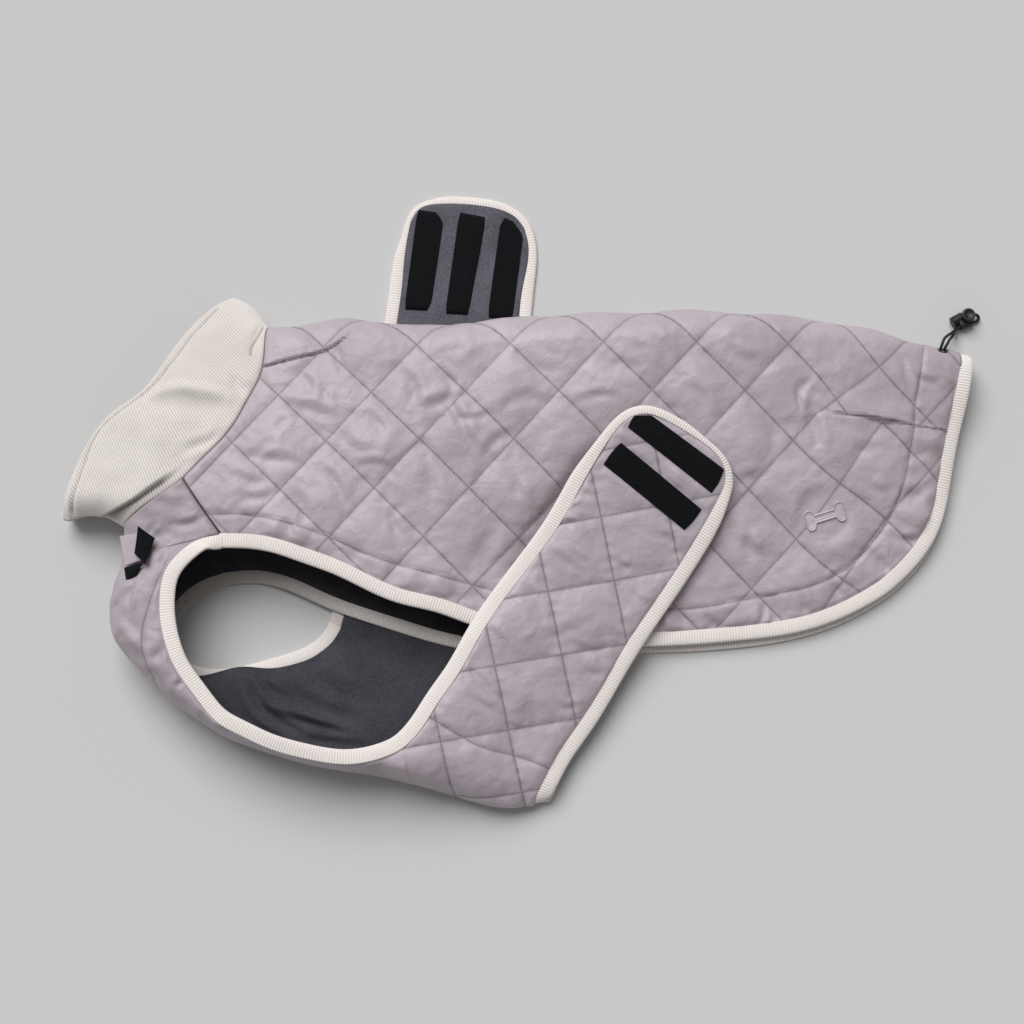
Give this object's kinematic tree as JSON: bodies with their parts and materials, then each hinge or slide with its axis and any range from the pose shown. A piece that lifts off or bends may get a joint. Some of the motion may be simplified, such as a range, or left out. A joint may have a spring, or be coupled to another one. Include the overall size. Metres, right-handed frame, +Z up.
{
  "type": "dog winter coat",
  "caption": "Quilted dog coat laid on its side, with a corduroy collar, leg holes, a belly panel whose wings close over the flanks with hook and loop tape, and a drawcord at the tail hem.",
  "frame": {"origin": "middle of the coat's box, seen from above, on the surface that it lies on", "axes": "+X towards the tail hem, +Y towards the spine fold, +Z up from the surface"},
  "size_m": [0.6619, 0.4522, 0.0633],
  "materials": {
    "satin": "quilted satin, mauve-grey, soft sheen",
    "fleece": "charcoal fleece with a short nap",
    "corduroy": "cream corduroy, fine wales",
    "tape": "black hook and loop tape",
    "cord": "black braided elastic",
    "plastic": "black moulded plastic"
  },
  "bodies": {
    "root": {"back_panel": "satin", "belly_panel": "satin", "back_lining": "fleece", "belly_lining": "fleece", "collar": "corduroy", "back_binding": "corduroy", "belly_binding": "corduroy", "loop_strip_1": "tape", "loop_strip_2": "tape", "hook_strip_1": "tape", "hook_strip_2": "tape", "hook_strip_3": "tape", "throat_tab": "satin", "throat_hook": "tape", "throat_loop": "tape", "eyelet": "cord", "drawcord": "cord", "cord_lock": "plastic", "lock_button": "plastic", "flank_badge": "satin"}
  },
  "joints": []
}
